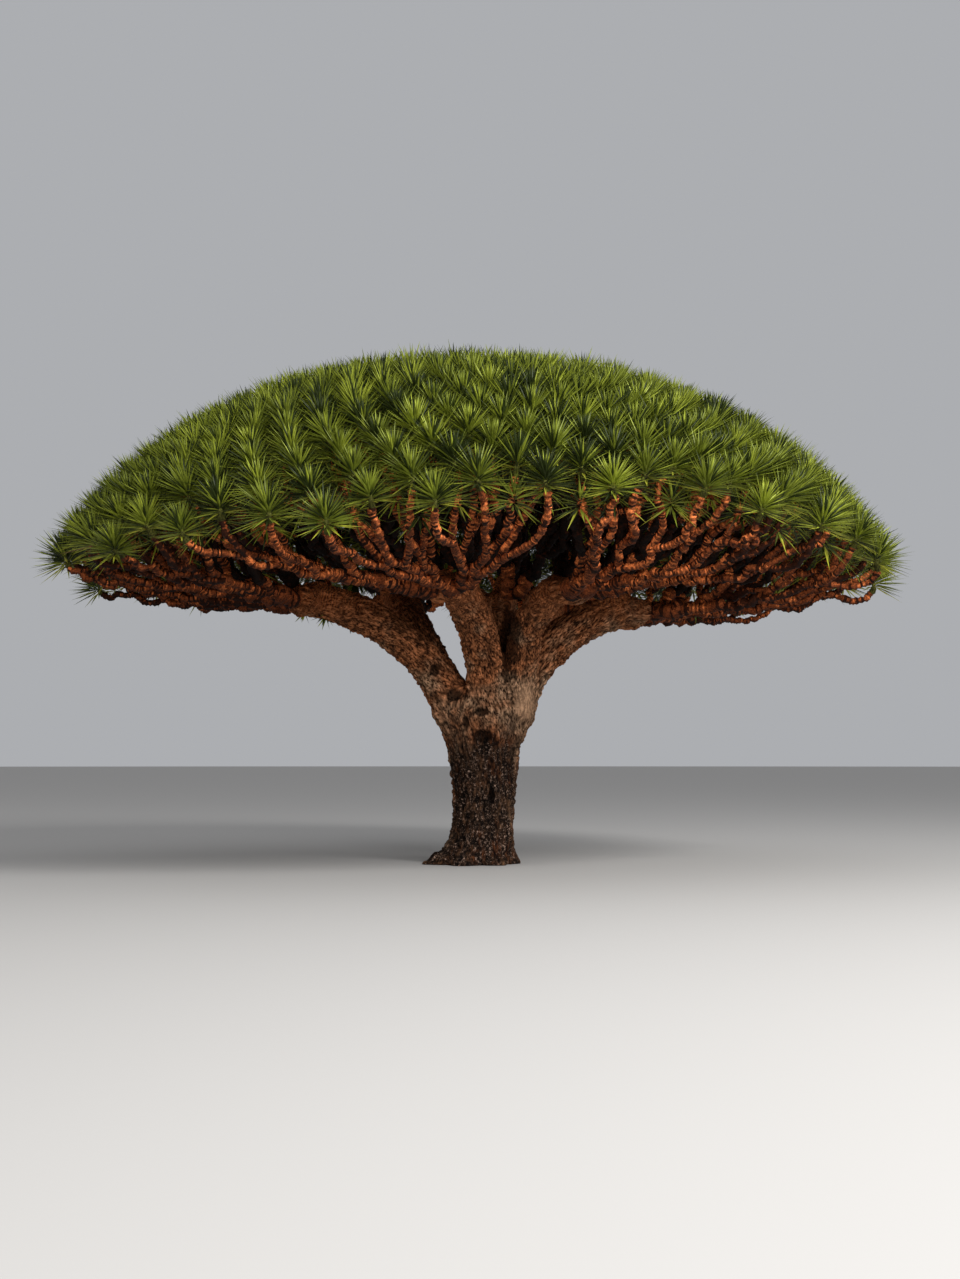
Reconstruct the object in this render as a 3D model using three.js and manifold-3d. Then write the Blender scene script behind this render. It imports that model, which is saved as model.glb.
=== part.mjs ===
// Dragon blood tree, whole, rooted in level ground. Millimetres, +Z up.
// The origin is on the trunk's flat cut at ground level, and +X is the side of the right bough.

import * as THREE from "three";
import { mergeVertices } from "three/addons/utils/BufferGeometryUtils.js";
import Module from "manifold-3d";

const wasm = await Module();
wasm.setup();

// Clearances
const CLEARANCE = 0.3;
const MASS_CLEARANCE = 6;
const TWIG_CLEARANCE = 15;

// Trunk, from the root flare at the cut, past the waist, to the head where the boughs part.
// A station is its height, its middle's place sideways, its half width and half depth, and the
// depth of the ribs round it.
const TRUNK_SIDES = 14;
const TRUNK_STATIONS = [
  { z: 0, x: -20, halfX: 720, halfY: 640, ribs: 0.14 },
  { z: 120, x: 10, halfX: 610, halfY: 560, ribs: 0.1 },
  { z: 260, x: 80, halfX: 500, halfY: 490, ribs: 0.05 },
  { z: 560, x: 140, halfX: 462, halfY: 465, ribs: 0.03 },
  { z: 1000, x: 170, halfX: 462, halfY: 460, ribs: 0.03 },
  { z: 1450, x: 188, halfX: 500, halfY: 485, ribs: 0.03 },
  { z: 1750, x: 186, halfX: 545, halfY: 510, ribs: 0.04 },
  { z: 2050, x: 208, halfX: 650, halfY: 580, ribs: 0.05 },
  { z: 2350, x: 210, halfX: 750, halfY: 650, ribs: 0.05 },
  { z: 2570, x: 195, halfX: 780, halfY: 660, ribs: 0.04 },
  { z: 2720, x: 190, halfX: 640, halfY: 540, ribs: 0.02 },
  { z: 2800, x: 190, halfX: 350, halfY: 300, ribs: 0 },
];
const TRUNK_RIBS = 7;
const RIB_TWIST = 0.4;

// Crown: the dome that the shoots end on. Its rim stands highest at the front, a little to the
// right, and across from there at the back.
const CROWN_RADIUS = 6280;
const RIM_HEIGHT = 4320;
const CROWN_RISE = 3000;
const SHOULDER_POWER = 2.5;
const EDGE_POWER = 0.8;
const RIM_LIFT = 500;
const LIFT_POWER = 8;
const LIFTED_WAY = THREE.MathUtils.degToRad(-67);
const SLOPE_STEP = 60;

// Shoots: the real crown's count, and the radius of the last twig, which sets every limb's radius
const SHOOTS = 800;
const SHOOT_RADIUS = 55;
const PIPE_POWER = 3;
const LATE_RISE = 3.6;
const TWIG_TAPER = 0.8;
const SADDLE_RISE = 0.6;

// Masses and the sprays that stand for the shoots, both spread by the golden angle
const MASSES = 21;
const MASS_REACH = 5620;
const MASS_PHASE = 0.6;
const SPRAYS = 126;
const SPRAY_PHASE = 1.9;
const SPRAY_MARGIN = 190;
const SPREAD_POWER = 0.47;
const GOLDEN_ANGLE = Math.PI * (3 - Math.sqrt(5));
const DRAWN_IN = 0.05;

// A spray's heart and its leaves, which are longer than life where they fill the room between
// sprays. A leaf that would leave its space is cut step by step, and one that faces down too far
// is left out.
const HEART_RADIUS = 200;
const HEART_LIFT = 120;
const UPPER_LEAF = 390;
const SIDE_LEAF = 600;
const RIM_LEAF = 490;
const SHORTEST_LEAF = 270;
const LEAF_RAISE = 0.35;
const LEAF_CUT = 0.1;
const UPPER_FACING = 0.5;
const LOWEST_FACING = -0.4;
const LEAF_HALF_WIDTH = 40;

// The core under the sprays of a mass
const CORE_RADIUS = 6130;
const CORE_ABOVE = 25;
const CORE_BELOW = 100;
const CORE_EDGES = 20;
const CORE_RING = 0.55;
const LONGEST_EDGE = 1900;

// Main boughs: each starts inside the trunk's head and ends where it forks
const BOUGH_SIDES = 8;
const BOUGH_STEPS = 5;
const BOUGH_TAPER = 1.1;
const CURVE_HANDLE = 0.4;
const MAIN_BOUGHS = {
  bough_left: {
    from: [-220, -20, 2330], out: [-0.46, 0, 0.89], to: [-2500, 0, 4120], along: [-0.97, 0, 0.22],
  },
  bough_front_left: {
    from: [250, -200, 2300], out: [0, -0.1, 1], to: [-200, -1750, 4100], along: [-0.25, -0.9, 0.35],
  },
  bough_right: {
    from: [590, 0, 2250], out: [0.3, 0, 0.95], to: [2340, 0, 3940], along: [0.96, 0, 0.25],
  },
  bough_front_right: {
    from: [650, -150, 2300], out: [0.1, -0.15, 0.98], to: [1240, -1600, 4100], along: [0.5, -0.8, 0.35],
  },
  bough_back_right: {
    from: [440, 250, 2300], out: [0.2, 0.35, 0.9], to: [1240, 1850, 4100], along: [0.5, 0.82, 0.28],
  },
  bough_back_left: {
    from: [-190, 150, 2330], out: [-0.5, 0.12, 0.85], to: [-1210, 1850, 4300], along: [-0.15, 0.9, 0.3],
  },
  bough_middle: {
    from: [390, 60, 2400], out: [0.02, 0.05, 1], to: [420, 130, 4050], along: [0, 0, 1],
  },
};
const MIDDLE_REACH = 2100;

// Limbs: one from a main bough's tip to the foot of each mass's stem
const LIMB_SIDES = 5;
const LIMB_STEPS = 4;
const LIMB_TAPER = 1.1;
const LIMB_SUNK = 160;
const STEM_INWARD = 520;
const INNER_INWARD = 0.6;
const INNER_LIFT = 0.44;
const OUTER_LIFT = 0.03;

// Materials
const BARK_DARK = new THREE.MeshStandardMaterial({ color: 0x3a2c25, roughness: 0.95, metalness: 0 });
const BARK_RED = new THREE.MeshStandardMaterial({ color: 0x6e4129, roughness: 0.9, metalness: 0 });
const LEAF_GREEN = new THREE.MeshStandardMaterial({ color: 0x46561d, roughness: 0.6, metalness: 0 });

const UP = new THREE.Vector3(0, 0, 1);
const FULL_TURN = 2 * Math.PI;

// Height of the dome that the shoots end on, over a place in plan
function crownHeight(place) {
  const share = Math.min(1, Math.hypot(place.x, place.y) / CROWN_RADIUS);
  const facing = Math.abs(Math.cos(Math.atan2(place.y, place.x) - LIFTED_WAY));
  const lift = RIM_LIFT * Math.pow(share * facing, LIFT_POWER);
  return RIM_HEIGHT + lift + CROWN_RISE * Math.pow(1 - Math.pow(share, SHOULDER_POWER), EDGE_POWER);
}

// The way a shoot points: off the dome, and upward even at the rim
function crownNormal(point) {
  const outward = new THREE.Vector3(point.x, point.y, 0).normalize();
  const distance = Math.hypot(point.x, point.y);
  const inside = Math.max(0, Math.min(distance, CROWN_RADIUS - 4 * SLOPE_STEP) - SLOPE_STEP);
  const before = crownHeight(outward.clone().multiplyScalar(inside));
  const after = crownHeight(outward.clone().multiplyScalar(inside + 2 * SLOPE_STEP));
  const slope = (after - before) / (2 * SLOPE_STEP);
  return outward.multiplyScalar(-slope).add(UP).normalize();
}

// A limb is as thick as the shoots that it feeds ask for
function limbRadius(shoots) {
  return SHOOT_RADIUS * Math.pow(shoots, 1 / PIPE_POWER);
}

// Points spread evenly over the dome, round and round by the golden angle
function spread(count, reach, phase) {
  const points = [];
  for (let k = 0; k < count; k += 1) {
    const distance = reach * Math.pow((k + 0.5) / count, SPREAD_POWER);
    const angle = k * GOLDEN_ANGLE + phase;
    const point = new THREE.Vector3(distance * Math.cos(angle), distance * Math.sin(angle), 0);
    points.push(point.setZ(crownHeight(point)));
  }
  return points;
}

function middleOf(points) {
  const sum = points.reduce((total, point) => total.add(point), new THREE.Vector3());
  return sum.divideScalar(points.length);
}

// Solids and meshes
function solidOf(geometry) {
  geometry.deleteAttribute("normal");
  geometry.deleteAttribute("uv");
  const merged = mergeVertices(geometry);
  return new wasm.Manifold(new wasm.Mesh({
    numProp: 3,
    vertProperties: new Float32Array(merged.attributes.position.array),
    triVerts: new Uint32Array(merged.index.array),
  }));
}

function solidOfFaces(faces) {
  return solidOf(new THREE.BufferGeometry().setFromPoints(faces.flat()));
}

function largestBody(solid) {
  return solid.decompose().reduce((best, body) => (body.volume() > best.volume() ? body : best));
}

function meshOf(name, solid, material) {
  const { vertProperties, triVerts } = solid.getMesh();
  const geometry = new THREE.BufferGeometry();
  geometry.setAttribute("position", new THREE.BufferAttribute(vertProperties, 3));
  geometry.setIndex(new THREE.BufferAttribute(triVerts, 1));
  geometry.computeVertexNormals();
  const mesh = new THREE.Mesh(geometry, material);
  mesh.name = name;
  return mesh;
}

function boxesMeet(first, second) {
  const a = first.boundingBox();
  const b = second.boundingBox();
  return [0, 1, 2].every((axis) => a.min[axis] <= b.max[axis] && b.min[axis] <= a.max[axis]);
}

// Trunk, or the room it needs when it is grown by a clearance
function trunkSolid(grown) {
  const steps = TRUNK_STATIONS.length - 1;
  const geometry = new THREE.CylinderGeometry(1, 1, 1, TRUNK_SIDES, steps);
  const position = geometry.attributes.position;
  for (let i = 0; i < position.count; i += 1) {
    const step = Math.round((position.getY(i) + 0.5) * steps);
    const station = TRUNK_STATIONS[step];
    const angle = Math.atan2(-position.getZ(i), position.getX(i));
    const reach = Math.hypot(position.getX(i), position.getZ(i));
    const rib = 1 + station.ribs * Math.cos(TRUNK_RIBS * angle + RIB_TWIST * step);
    const x = station.x + reach * (station.halfX * rib + grown) * Math.cos(angle);
    const y = reach * (station.halfY * rib + grown) * Math.sin(angle);
    position.setXYZ(i, x, y, station.z + (step === steps ? grown : 0));
  }
  return solidOf(geometry);
}

// A curve from one point and direction to another
function sweep(from, out, to, along) {
  const handle = CURVE_HANDLE * from.distanceTo(to);
  const first = out.clone().setLength(handle).add(from);
  const second = to.clone().addScaledVector(along.clone().normalize(), -handle);
  return new THREE.CubicBezierCurve3(from, first, second, to);
}

// A round bar bent along a limb's curve, thinning from one radius to the other
function bentLimb(limb, grown) {
  const geometry = new THREE.CylinderGeometry(1, 1, 1, limb.sides, limb.steps);
  const frames = limb.curve.computeFrenetFrames(limb.steps);
  const position = geometry.attributes.position;
  for (let i = 0; i < position.count; i += 1) {
    const step = Math.round((position.getY(i) + 0.5) * limb.steps);
    const share = step / limb.steps;
    const along = frames.tangents[step];
    const side = frames.normals[step];
    const front = new THREE.Vector3().crossVectors(side, along);
    const radius = THREE.MathUtils.lerp(limb.startRadius, limb.endRadius, share) + grown;
    const end = step === 0 ? -grown : step === limb.steps ? grown : 0;
    const point = limb.curve.getPointAt(share)
      .addScaledVector(side, position.getX(i) * radius)
      .addScaledVector(front, position.getZ(i) * radius)
      .addScaledVector(along, end);
    position.setXYZ(i, point.x, point.y, point.z);
  }
  return solidOf(geometry);
}

// Least distance from one straight stretch to another, by stepping along the first
function stretchGap(from, to, start, end) {
  const stretch = new THREE.Line3(start, end);
  const here = new THREE.Vector3();
  const there = new THREE.Vector3();
  const steps = 10;
  let least = Infinity;
  for (let step = 0; step <= steps; step += 1) {
    here.lerpVectors(from, to, step / steps);
    stretch.closestPointToPoint(here, true, there);
    least = Math.min(least, here.distanceTo(there));
  }
  return least;
}

function clearOfLimbs(from, to, radius, limbs) {
  return limbs.every((limb) => {
    const points = limb.curve.getSpacedPoints(limb.steps);
    const room = radius + limb.startRadius + TWIG_CLEARANCE;
    return points.slice(1).every((point, i) => stretchGap(from, to, points[i], point) > room);
  });
}

// Spaces: what lies nearer in plan to a mass's own centre than to any other is its space
function nearestMass(point, centres) {
  const distances = centres.map((centre) => Math.hypot(point.x - centre.x, point.y - centre.y));
  return distances.indexOf(Math.min(...distances));
}

// How far a point is past the line halfway to another mass, in plan
function pastHalfway(point, own, other) {
  const away = new THREE.Vector2(other.x - own.x, other.y - own.y);
  const offset = new THREE.Vector2(point.x - own.x, point.y - own.y);
  return offset.dot(away) / away.length() - away.length() / 2;
}

function insideSpace(point, own, centres, margin) {
  return centres.every((other) => other === own || pastHalfway(point, own, other) <= -margin);
}

function keptInside(point, own, centres, margin) {
  const moved = point.clone();
  while (!insideSpace(moved, own, centres, margin)) {
    moved.lerp(own, DRAWN_IN);
  }
  return moved.setZ(crownHeight(moved));
}

// The outline of a space in plan: a round edge, cut by the line halfway to each other mass
function spaceOutline(own, centres) {
  let outline = [];
  for (let k = 0; k < CORE_EDGES; k += 1) {
    const angle = (k / CORE_EDGES) * FULL_TURN;
    outline.push(new THREE.Vector3(CORE_RADIUS * Math.cos(angle), CORE_RADIUS * Math.sin(angle), 0));
  }
  for (const other of centres.filter((centre) => centre !== own)) {
    outline = outline.flatMap((point, i) => {
      const next = outline[(i + 1) % outline.length];
      const here = pastHalfway(point, own, other) + MASS_CLEARANCE;
      const there = pastHalfway(next, own, other) + MASS_CLEARANCE;
      const kept = here <= 0 ? [point] : [];
      if (here * there < 0) kept.push(point.clone().lerp(next, here / (here - there)));
      return kept;
    });
  }
  return outline.flatMap((point, i) => {
    const next = outline[(i + 1) % outline.length];
    return point.distanceTo(next) > LONGEST_EDGE ? [point, point.clone().lerp(next, 0.5)] : [point];
  });
}

// The core: a thin curved slab where the leaf bases crowd, from which the leaves stand out
function coreSolid(own, centres) {
  const outline = spaceOutline(own, centres);
  const lifted = (point, lift) => point.clone().setZ(crownHeight(point) + lift);
  const faces = [];
  outline.forEach((point, i) => {
    const next = outline[(i + 1) % outline.length];
    const [top, under] = [CORE_ABOVE, -CORE_BELOW].map((lift) => ({
      middle: lifted(own, lift),
      inner: lifted(own.clone().lerp(point, CORE_RING), lift),
      innerNext: lifted(own.clone().lerp(next, CORE_RING), lift),
      outer: lifted(point, lift),
      outerNext: lifted(next, lift),
    }));
    faces.push([top.middle, top.inner, top.innerNext]);
    faces.push([top.inner, top.outer, top.outerNext], [top.inner, top.outerNext, top.innerNext]);
    faces.push([under.middle, under.innerNext, under.inner]);
    faces.push([under.inner, under.outerNext, under.outer], [under.inner, under.innerNext, under.outerNext]);
    faces.push([under.outer, under.outerNext, top.outerNext], [under.outer, top.outerNext, top.outer]);
  });
  return solidOfFaces(faces);
}

// Where the twig that feeds some sprays forks: part of the way to their middle. The farther out they
// are for their height, the later it rises.
function forkPoint(from, sprays) {
  const share = 1 / (1 + Math.log2(sprays.length));
  const middle = middleOf(sprays);
  const outward = Math.hypot(middle.x - from.x, middle.y - from.y);
  const late = outward / (outward + Math.abs(middle.z - from.z));
  const fork = from.clone().lerp(middle, share);
  fork.z = from.z + (middle.z - from.z) * Math.pow(share, 1 + LATE_RISE * late * late);
  return fork;
}

// Two halves of a set of sprays, parted across its longer way
function halved(sprays) {
  const middle = middleOf(sprays);
  let xx = 0;
  let yy = 0;
  let xy = 0;
  for (const spray of sprays) {
    xx += (spray.x - middle.x) ** 2;
    yy += (spray.y - middle.y) ** 2;
    xy += (spray.x - middle.x) * (spray.y - middle.y);
  }
  const angle = Math.atan2(2 * xy, xx - yy) / 2;
  const place = (spray) => spray.x * Math.cos(angle) + spray.y * Math.sin(angle);
  const sorted = [...sprays].sort((a, b) => place(a) - place(b));
  const half = Math.ceil(sorted.length / 2);
  return [sorted.slice(0, half), sorted.slice(half)];
}

// The branching rule: a twig runs to its fork, and each half of its sprays gets a twig of its own
function grow(from, sprays) {
  const to = forkPoint(from, sprays);
  const radius = limbRadius(sprays.length * (SHOOTS / SPRAYS));
  const forked = sprays.length > 1 ? halved(sprays) : [];
  return { from, to, radius, children: forked.map((half) => grow(to, half)) };
}

// Three corners round a point, square to a direction, turned to follow the three corners before them
function ringRound(point, direction, radius, before) {
  const axis = direction.clone().normalize();
  const side = before[0].clone().sub(middleOf(before)).projectOnPlane(axis).normalize();
  const front = new THREE.Vector3().crossVectors(axis, side);
  return [0, 1, 2].map((k) => {
    const angle = (k / 3) * FULL_TURN;
    return point.clone()
      .addScaledVector(side, radius * Math.cos(angle))
      .addScaledVector(front, radius * Math.sin(angle));
  });
}

// Adds a twig and all that grows from it to a list of faces. It starts on three corners that its
// parent left open. Its own end rises to a saddle with three faces, and its children start on these.
function addTwig(twig, base, limbs, faces) {
  const along = twig.to.clone().sub(twig.from);
  const end = ringRound(twig.to, along, TWIG_TAPER * twig.radius, base);
  for (let k = 0; k < 3; k += 1) {
    const next = (k + 1) % 3;
    faces.push([base[k], base[next], end[next]], [base[k], end[next], end[k]]);
  }
  const growing = twig.children.filter((child) => clearOfLimbs(child.from, child.to, child.radius, limbs));
  if (growing.length === 0) {
    faces.push(end);
    return;
  }
  const saddle = twig.to.clone().addScaledVector(along.normalize(), SADDLE_RISE * twig.radius);
  const open = [0, 1, 2].map((k) => [end[k], end[(k + 1) % 3], saddle]);
  for (const child of growing) {
    const way = child.to.clone().sub(child.from).normalize();
    const match = (face) => middleOf(face).sub(twig.to).normalize().dot(way);
    const chosen = open.reduce((best, face) => (match(face) > match(best) ? face : best));
    open.splice(open.indexOf(chosen), 1);
    addTwig(child, chosen, limbs, faces);
  }
  faces.push(...open);
}

// All the twigs of a mass, from the foot of its stem to the middle of its core
function twigsSolid(mass, limbs) {
  const ends = mass.sprays.map((shoot) => shoot.clone().setZ(shoot.z + (CORE_ABOVE - CORE_BELOW) / 2));
  const stem = grow(mass.foot, ends);
  const foot = mass.foot.clone().addScaledVector(mass.direction, CLEARANCE);
  const across = [new THREE.Vector3(1, 0, 0), new THREE.Vector3(0, 1, 0), new THREE.Vector3(0, 0, 1)];
  const base = ringRound(foot, mass.direction, stem.radius, across);
  const faces = [[base[2], base[1], base[0]]];
  addTwig(stem, base, limbs, faces);
  return solidOfFaces(faces);
}

// The tip of one leaf, drawn in until it stays in its mass's space and off the limbs, or none
function leafTip(heart, way, longest, own, centres, limbs) {
  for (let length = longest; length >= SHORTEST_LEAF; length -= LEAF_CUT * longest) {
    const tip = heart.clone().addScaledVector(way, length);
    const inside = insideSpace(tip, own, centres, MASS_CLEARANCE);
    if (inside && clearOfLimbs(heart, tip, LEAF_HALF_WIDTH, limbs)) return tip;
  }
  return null;
}

// A spray: leaves that stand out all round from a small heart, each a three-sided blade.
// Those at the rim hang out past the core, so they have a lower ring of leaves too.
function spraySolid(shoot, own, centres, limbs) {
  const atRim = Math.hypot(shoot.x, shoot.y) > CORE_RADIUS - HEART_RADIUS;
  const axis = crownNormal(shoot);
  const turn = new THREE.Quaternion().setFromUnitVectors(UP, axis);
  const heart = shoot.clone().addScaledVector(axis, atRim ? 0 : HEART_LIFT);
  const geometry = new THREE.IcosahedronGeometry(HEART_RADIUS, 0);
  const corners = geometry.attributes.position;
  const top = new THREE.Vector3().fromBufferAttribute(corners, 0).normalize();
  geometry.applyQuaternion(new THREE.Quaternion().setFromUnitVectors(top, UP));
  const faces = [];
  for (let i = 0; i < corners.count; i += 3) {
    const face = [0, 1, 2].map((k) => new THREE.Vector3().fromBufferAttribute(corners, i + k));
    const facing = middleOf(face).normalize();
    const placed = face.map((corner) => corner.applyQuaternion(turn).add(heart));
    const longest = facing.z > UPPER_FACING ? UPPER_LEAF : atRim ? RIM_LEAF : SIDE_LEAF;
    const way = facing.clone().addScaledVector(UP, LEAF_RAISE).normalize().applyQuaternion(turn);
    const bears = facing.z > (atRim ? LOWEST_FACING : 0);
    const leaf = bears ? leafTip(heart, way, longest, own, centres, limbs) : null;
    if (leaf) {
      faces.push([placed[0], placed[1], leaf], [placed[1], placed[2], leaf], [placed[2], placed[0], leaf]);
    } else {
      faces.push(placed);
    }
  }
  return solidOfFaces(faces);
}

function massSolid(mass, centres, limbs) {
  const others = limbs.filter((limb) => limb !== mass.limb);
  const pieces = [twigsSolid(mass, others), coreSolid(mass.centre, centres)];
  for (const shoot of mass.sprays) {
    pieces.push(spraySolid(shoot, mass.centre, centres, limbs));
  }
  return largestBody(wasm.Manifold.union(pieces));
}

// Layout: main boughs, masses, the sprays in each, and the bough that carries each
const boughs = Object.entries(MAIN_BOUGHS).map(([name, bough]) => {
  const [from, out, to, along] = [bough.from, bough.out, bough.to, bough.along].map((place) => (
    new THREE.Vector3(...place)
  ));
  const curve = sweep(from, out, to, along);
  return { name, tip: to, along, curve, sides: BOUGH_SIDES, steps: BOUGH_STEPS, shoots: 0 };
});
const middleBough = boughs.find((bough) => bough.name === "bough_middle");

function carrierOf(centre) {
  if (Math.hypot(centre.x, centre.y) < MIDDLE_REACH) return middleBough;
  const turnFrom = (bough) => {
    const turn = Math.atan2(bough.tip.y, bough.tip.x) - Math.atan2(centre.y, centre.x);
    return Math.abs(Math.atan2(Math.sin(turn), Math.cos(turn)));
  };
  const outer = boughs.filter((bough) => bough !== middleBough);
  return outer.reduce((best, bough) => (turnFrom(bough) < turnFrom(best) ? bough : best));
}

const centres = spread(MASSES, MASS_REACH, MASS_PHASE);
const masses = centres.map((centre) => ({ centre, sprays: [], bough: carrierOf(centre) }));
for (const shoot of spread(SPRAYS, CROWN_RADIUS, SPRAY_PHASE)) {
  const mass = masses[nearestMass(shoot, centres)];
  mass.sprays.push(keptInside(shoot, mass.centre, centres, SPRAY_MARGIN));
}

// Each mass's foot lies on the tree's side of its space, and its limb reaches it from the bough's tip
const numbered = (name, k) => `${name}_${String(k + 1).padStart(2, "0")}`;
masses.forEach((mass, k) => {
  const { centre, bough } = mass;
  const distance = Math.hypot(centre.x, centre.y);
  const inward = Math.min(STEM_INWARD, INNER_INWARD * distance);
  const lift = THREE.MathUtils.lerp(INNER_LIFT, OUTER_LIFT, distance / CROWN_RADIUS);
  mass.foot = centre.clone().multiplyScalar(1 - inward / distance);
  mass.foot.z = bough.tip.z + lift * (centre.z - bough.tip.z);
  const outward = mass.foot.clone().sub(bough.tip).normalize();
  mass.direction = forkPoint(mass.foot, mass.sprays).sub(mass.foot).normalize().add(outward).normalize();
  const shoots = mass.sprays.length * (SHOOTS / SPRAYS);
  bough.shoots += shoots;
  const start = bough.tip.clone().addScaledVector(bough.along.clone().normalize(), -LIMB_SUNK);
  mass.limb = {
    name: numbered("limb", k),
    curve: sweep(start, bough.along, mass.foot, mass.direction),
    sides: LIMB_SIDES,
    steps: LIMB_STEPS,
    startRadius: LIMB_TAPER * limbRadius(shoots),
    endRadius: limbRadius(shoots),
  };
});
for (const bough of boughs) {
  bough.startRadius = BOUGH_TAPER * limbRadius(bough.shoots);
  bough.endRadius = limbRadius(bough.shoots);
}

// The tree: each limb is cut clear of the trunk and of the limbs before it
const tree = new THREE.Group();
tree.add(meshOf("trunk", trunkSolid(0), BARK_DARK));
const limbs = [...boughs, ...masses.map((mass) => mass.limb)];
const standing = [trunkSolid(CLEARANCE)];
for (const limb of limbs) {
  let solid = bentLimb(limb, 0);
  for (const neighbour of standing) {
    if (boxesMeet(solid, neighbour)) solid = solid.subtract(neighbour);
  }
  standing.push(bentLimb(limb, CLEARANCE));
  tree.add(meshOf(limb.name, largestBody(solid), BARK_RED));
}
masses.forEach((mass, k) => {
  tree.add(meshOf(numbered("foliage", k), massSolid(mass, centres, limbs), LEAF_GREEN));
});

export default tree;
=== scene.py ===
"""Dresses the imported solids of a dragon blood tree: bark with relief, limbs, twigs and leaves.

It is laid out as a Blender add-on. Run as a script, it grows the whole tree in the frame's
place, in metres, and sets the stage that it is looked at on.
"""

import itertools
import math

import bpy
import numpy as np
from bpy.props import FloatProperty, FloatVectorProperty, IntProperty, PointerProperty
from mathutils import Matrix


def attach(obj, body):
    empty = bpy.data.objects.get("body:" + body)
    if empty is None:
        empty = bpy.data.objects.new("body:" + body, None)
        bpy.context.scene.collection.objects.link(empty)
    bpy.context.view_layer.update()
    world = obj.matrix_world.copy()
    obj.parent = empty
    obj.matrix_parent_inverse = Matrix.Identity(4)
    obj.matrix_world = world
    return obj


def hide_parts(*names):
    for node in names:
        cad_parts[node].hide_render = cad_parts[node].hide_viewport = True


bl_info = {
    "name": "Dragon blood tree",
    "version": (1, 0, 0),
    "blender": (4, 5, 0),
    "location": "View3D > Sidebar > Dragon tree",
    "description": "Grows the bark, limbs, twigs and leaves of a dragon blood tree",
    "category": "Add Mesh",
}

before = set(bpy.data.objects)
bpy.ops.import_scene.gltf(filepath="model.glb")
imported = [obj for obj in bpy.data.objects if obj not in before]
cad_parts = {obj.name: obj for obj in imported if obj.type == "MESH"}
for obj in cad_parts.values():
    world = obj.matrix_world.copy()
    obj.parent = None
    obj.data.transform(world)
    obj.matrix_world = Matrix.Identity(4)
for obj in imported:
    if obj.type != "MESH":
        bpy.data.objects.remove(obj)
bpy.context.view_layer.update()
BODY = "root"

UP = np.array([0.0, 0.0, 1.0])
FULL_TURN = 2 * math.pi
GOLDEN_ANGLE = math.pi * (3 - math.sqrt(5))
TINY = 1e-12

# Trunk: height, place sideways, half width, half depth and depth of the ribs at each station
TRUNK_STATIONS = np.array([
    [0.00, -0.020, 0.720, 0.640, 0.14],
    [0.12, 0.010, 0.610, 0.560, 0.10],
    [0.26, 0.080, 0.500, 0.490, 0.05],
    [0.56, 0.140, 0.462, 0.465, 0.03],
    [1.00, 0.170, 0.462, 0.460, 0.03],
    [1.45, 0.188, 0.500, 0.485, 0.03],
    [1.75, 0.186, 0.545, 0.510, 0.04],
    [2.05, 0.208, 0.650, 0.580, 0.05],
    [2.35, 0.210, 0.750, 0.650, 0.05],
    [2.57, 0.195, 0.780, 0.660, 0.04],
    [2.72, 0.190, 0.640, 0.540, 0.02],
    [2.80, 0.190, 0.350, 0.300, 0.00],
])
TRUNK_MIDDLE = 0.19
TRUNK_RIBS = 7
RIB_TWIST = 0.4

# Main boughs: where each starts and how it leaves, where it ends and how it points there
MAIN_BOUGHS = {
    "left": ([-0.22, -0.02, 2.33], [-0.46, 0, 0.89], [-2.50, 0, 4.12], [-0.97, 0, 0.22]),
    "front_left": ([0.25, -0.20, 2.30], [0, -0.1, 1], [-0.20, -1.75, 4.10], [-0.25, -0.9, 0.35]),
    "right": ([0.59, 0, 2.25], [0.3, 0, 0.95], [2.34, 0, 3.94], [0.96, 0, 0.25]),
    "front_right": ([0.65, -0.15, 2.30], [0.1, -0.15, 0.98], [1.24, -1.60, 4.10], [0.5, -0.8, 0.35]),
    "back_right": ([0.44, 0.25, 2.30], [0.2, 0.35, 0.9], [1.24, 1.85, 4.10], [0.5, 0.82, 0.28]),
    "back_left": ([-0.19, 0.15, 2.33], [-0.5, 0.12, 0.85], [-1.21, 1.85, 4.30], [-0.15, 0.9, 0.3]),
    "middle": ([0.39, 0.06, 2.40], [0.02, 0.05, 1], [0.42, 0.13, 4.05], [0, 0, 1]),
}
MIDDLE_REACH = 2.1
BOUGH_TAPER = 1.1
CURVE_HANDLE = 0.4
POINT_GAP = 0.05
FINE_POINTS = 80
STRAIGHT = 0.05

# Crown: the dome that the shoots end on, the masses it is shared between, and the forking rule
CROWN_RADIUS = 6.28
RIM_HEIGHT = 4.32
CROWN_RISE = 3.0
SHOULDER_POWER = 2.5
EDGE_POWER = 0.8
RIM_LIFT = 0.50
LIFT_POWER = 8
LIFTED_WAY = math.radians(-67)
SLOPE_STEP = 0.06
SPREAD_POWER = 0.47
MASSES = 21
MASS_REACH = 5.62
MASS_PHASE = 0.6
SPRAYS = 126
SPRAY_PHASE = 1.9
SPRAY_MARGIN = 0.19
SHOOT_MARGIN = 0.04
PULL = 0.05
SHOOTS = 800
SHOOT_RADIUS = 0.055
PIPE_POWER = 3
LATE_RISE = 3.6
LIMB_SUNK = 0.16


def measure(name, description, default):
    return FloatProperty(name=name, description=description, default=default, unit="LENGTH")


def tint(name, description, default):
    return FloatVectorProperty(
        name=name, description=description, default=default, subtype="COLOR", min=0, max=1,
    )


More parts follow.
